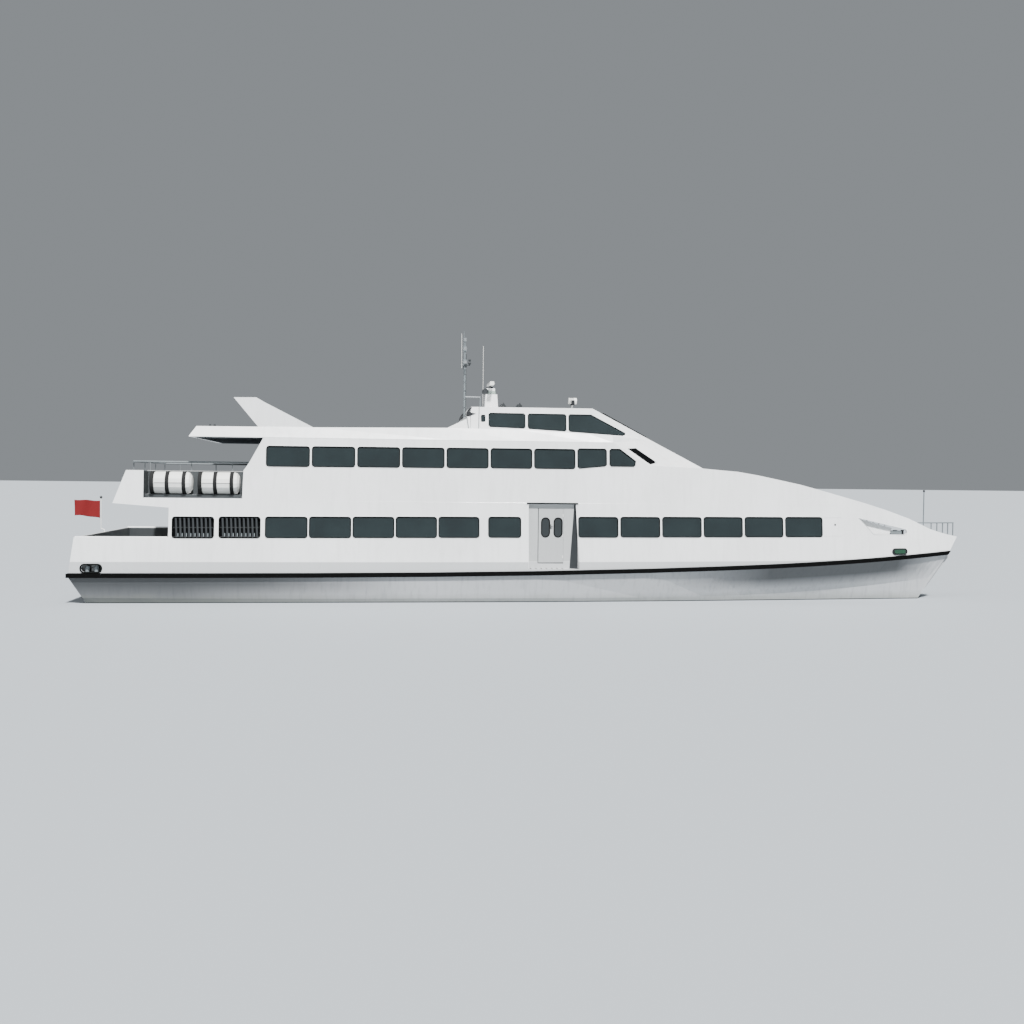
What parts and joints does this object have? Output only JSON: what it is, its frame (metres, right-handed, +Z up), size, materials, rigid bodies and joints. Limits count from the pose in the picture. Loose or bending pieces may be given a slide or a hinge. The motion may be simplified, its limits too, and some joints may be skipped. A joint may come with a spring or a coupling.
{
  "type": "catamaran passenger ferry",
  "caption": "High-speed catamaran passenger ferry: slim hulls, side windows on both decks, sloping front, raised wheelhouse, raft bays aft and a fender strip all round.",
  "frame": {"origin": "On the centreline at the waterline, amidships between the ends of the hulls", "axes": "+X towards the bow, +Y to port, +Z up"},
  "size_m": [33.36, 8.15, 11.77],
  "materials": {
    "white_enamel": "semi-gloss marine enamel",
    "hull_enamel": "semi-gloss marine enamel",
    "fender_rubber": "matte extruded rubber",
    "deck_coating": "non-slip deck coating",
    "tinted_glass": "dark tinted safety glass",
    "grille_enamel": "matte dark enamel",
    "stainless_steel": "satin stainless steel",
    "bronze": "cast and polished",
    "engine_enamel": "enamelled casting",
    "seat_fabric": "woven seat cloth",
    "canister_gelcoat": "moulded shell",
    "flag_cloth": "woven flag cloth"
  },
  "bodies": {
    "ship": {"aft_bulwark": "white_enamel", "bow_bulwark_port": "white_enamel", "bow_bulwark_starboard": "white_enamel", "bow_deck_port": "deck_coating", "bow_deck_starboard": "deck_coating", "bridge_deck": "deck_coating", "engine_port": "engine_enamel", "engine_starboard": "engine_enamel", "ensign": "flag_cloth", "ensign_staff": "stainless_steel", "fender": "fender_rubber", "foredeck_roof": "white_enamel", "front_bulkhead": "white_enamel", "front_fairing": "white_enamel", "hull_port": "hull_enamel", "hull_starboard": "hull_enamel", "intake_grille_port": "grille_enamel", "intake_grille_starboard": "grille_enamel", "liferaft_port_aft": "canister_gelcoat", "liferaft_port_forward": "canister_gelcoat", "liferaft_starboard_aft": "canister_gelcoat", "liferaft_starboard_forward": "canister_gelcoat", "lower_aft_bulkhead": "white_enamel", "lower_glass_aft_port": "tinted_glass", "lower_glass_aft_starboard": "tinted_glass", "lower_glass_forward_port": "tinted_glass", "lower_glass_forward_starboard": "tinted_glass", "lower_side_port": "white_enamel", "lower_side_starboard": "white_enamel", "mast": "stainless_steel", "radar_pedestal": "white_enamel", "roof": "white_enamel", "saloon_seats": "seat_fabric", "saloon_sole": "deck_coating", "upper_aft_bulkhead": "white_enamel", "upper_deck": "deck_coating", "upper_deck_rail": "stainless_steel", "upper_glass_port": "tinted_glass", "upper_glass_starboard": "tinted_glass", "upper_seats": "seat_fabric", "upper_side_port": "white_enamel", "upper_side_starboard": "white_enamel", "wheelhouse": "white_enamel", "wheelhouse_glass": "tinted_glass"},
    "propeller_starboard": {"propeller_starboard": "bronze"},
    "propeller_port": {"propeller_port": "bronze"},
    "rudder_starboard": {"rudder_starboard": "stainless_steel"},
    "rudder_port": {"rudder_port": "stainless_steel"},
    "side_door_starboard": {"side_door_starboard": "white_enamel"},
    "side_door_port": {"side_door_port": "white_enamel"},
    "radar_scanner": {"radar_scanner": "white_enamel"},
    "searchlight": {"searchlight": "stainless_steel"},
    "foredeck_door": {"foredeck_door": "white_enamel"},
    "lower_aft_door": {"lower_aft_door": "white_enamel"},
    "upper_aft_door": {"upper_aft_door": "white_enamel"}
  },
  "joints": [
    {"name": "propeller_starboard_spin", "type": "hinge", "parent": "ship", "child": "propeller_starboard", "pos_m": [-14.4, -2.9, -1.28], "axis": [0.9925, 0, 0.1219], "continuous": true},
    {"name": "rudder_starboard_turn", "type": "hinge", "parent": "ship", "child": "rudder_starboard", "pos_m": [-15.15, -2.9, -1.2], "axis": [0, 0, 1], "range_deg": [-35, 35]},
    {"name": "side_door_starboard_hinge", "type": "hinge", "parent": "ship", "child": "side_door_starboard", "pos_m": [0.805, -3.7, 1.39], "axis": [0, 0, 1], "range_deg": [0, 95]},
    {"name": "propeller_port_spin", "type": "hinge", "parent": "ship", "child": "propeller_port", "pos_m": [-14.4, 2.9, -1.28], "axis": [0.9925, 0, 0.1219], "continuous": true},
    {"name": "rudder_port_turn", "type": "hinge", "parent": "ship", "child": "rudder_port", "pos_m": [-15.15, 2.9, -1.2], "axis": [0, 0, 1], "range_deg": [-35, 35]},
    {"name": "side_door_port_hinge", "type": "hinge", "parent": "ship", "child": "side_door_port", "pos_m": [0.805, 3.7, 1.39], "axis": [0, 0, -1], "range_deg": [0, 95]},
    {"name": "radar_scanner_spin", "type": "hinge", "parent": "ship", "child": "radar_scanner", "pos_m": [-1.5, 0, 8.05], "axis": [0, 0, 1], "continuous": true},
    {"name": "searchlight_pan", "type": "hinge", "parent": "ship", "child": "searchlight", "pos_m": [1.62, -0.6, 7.43], "axis": [0, 0, 1], "range_deg": [-170, 170]},
    {"name": "foredeck_door_hinge", "type": "hinge", "parent": "ship", "child": "foredeck_door", "pos_m": [11.92, 0.445, 2.36], "axis": [0, 0, 1], "range_deg": [0, 100]},
    {"name": "lower_aft_door_slide", "type": "slide", "parent": "ship", "child": "lower_aft_door", "axis": [0, 1, 0], "range_m": [0, 1.25]},
    {"name": "upper_aft_door_slide", "type": "slide", "parent": "ship", "child": "upper_aft_door", "axis": [0, 1, 0], "range_m": [0, 1.05]}
  ],
  "couplings": [
    {"joint": "rudder_port_turn", "follows": "rudder_starboard_turn", "ratio": 1}
  ]
}
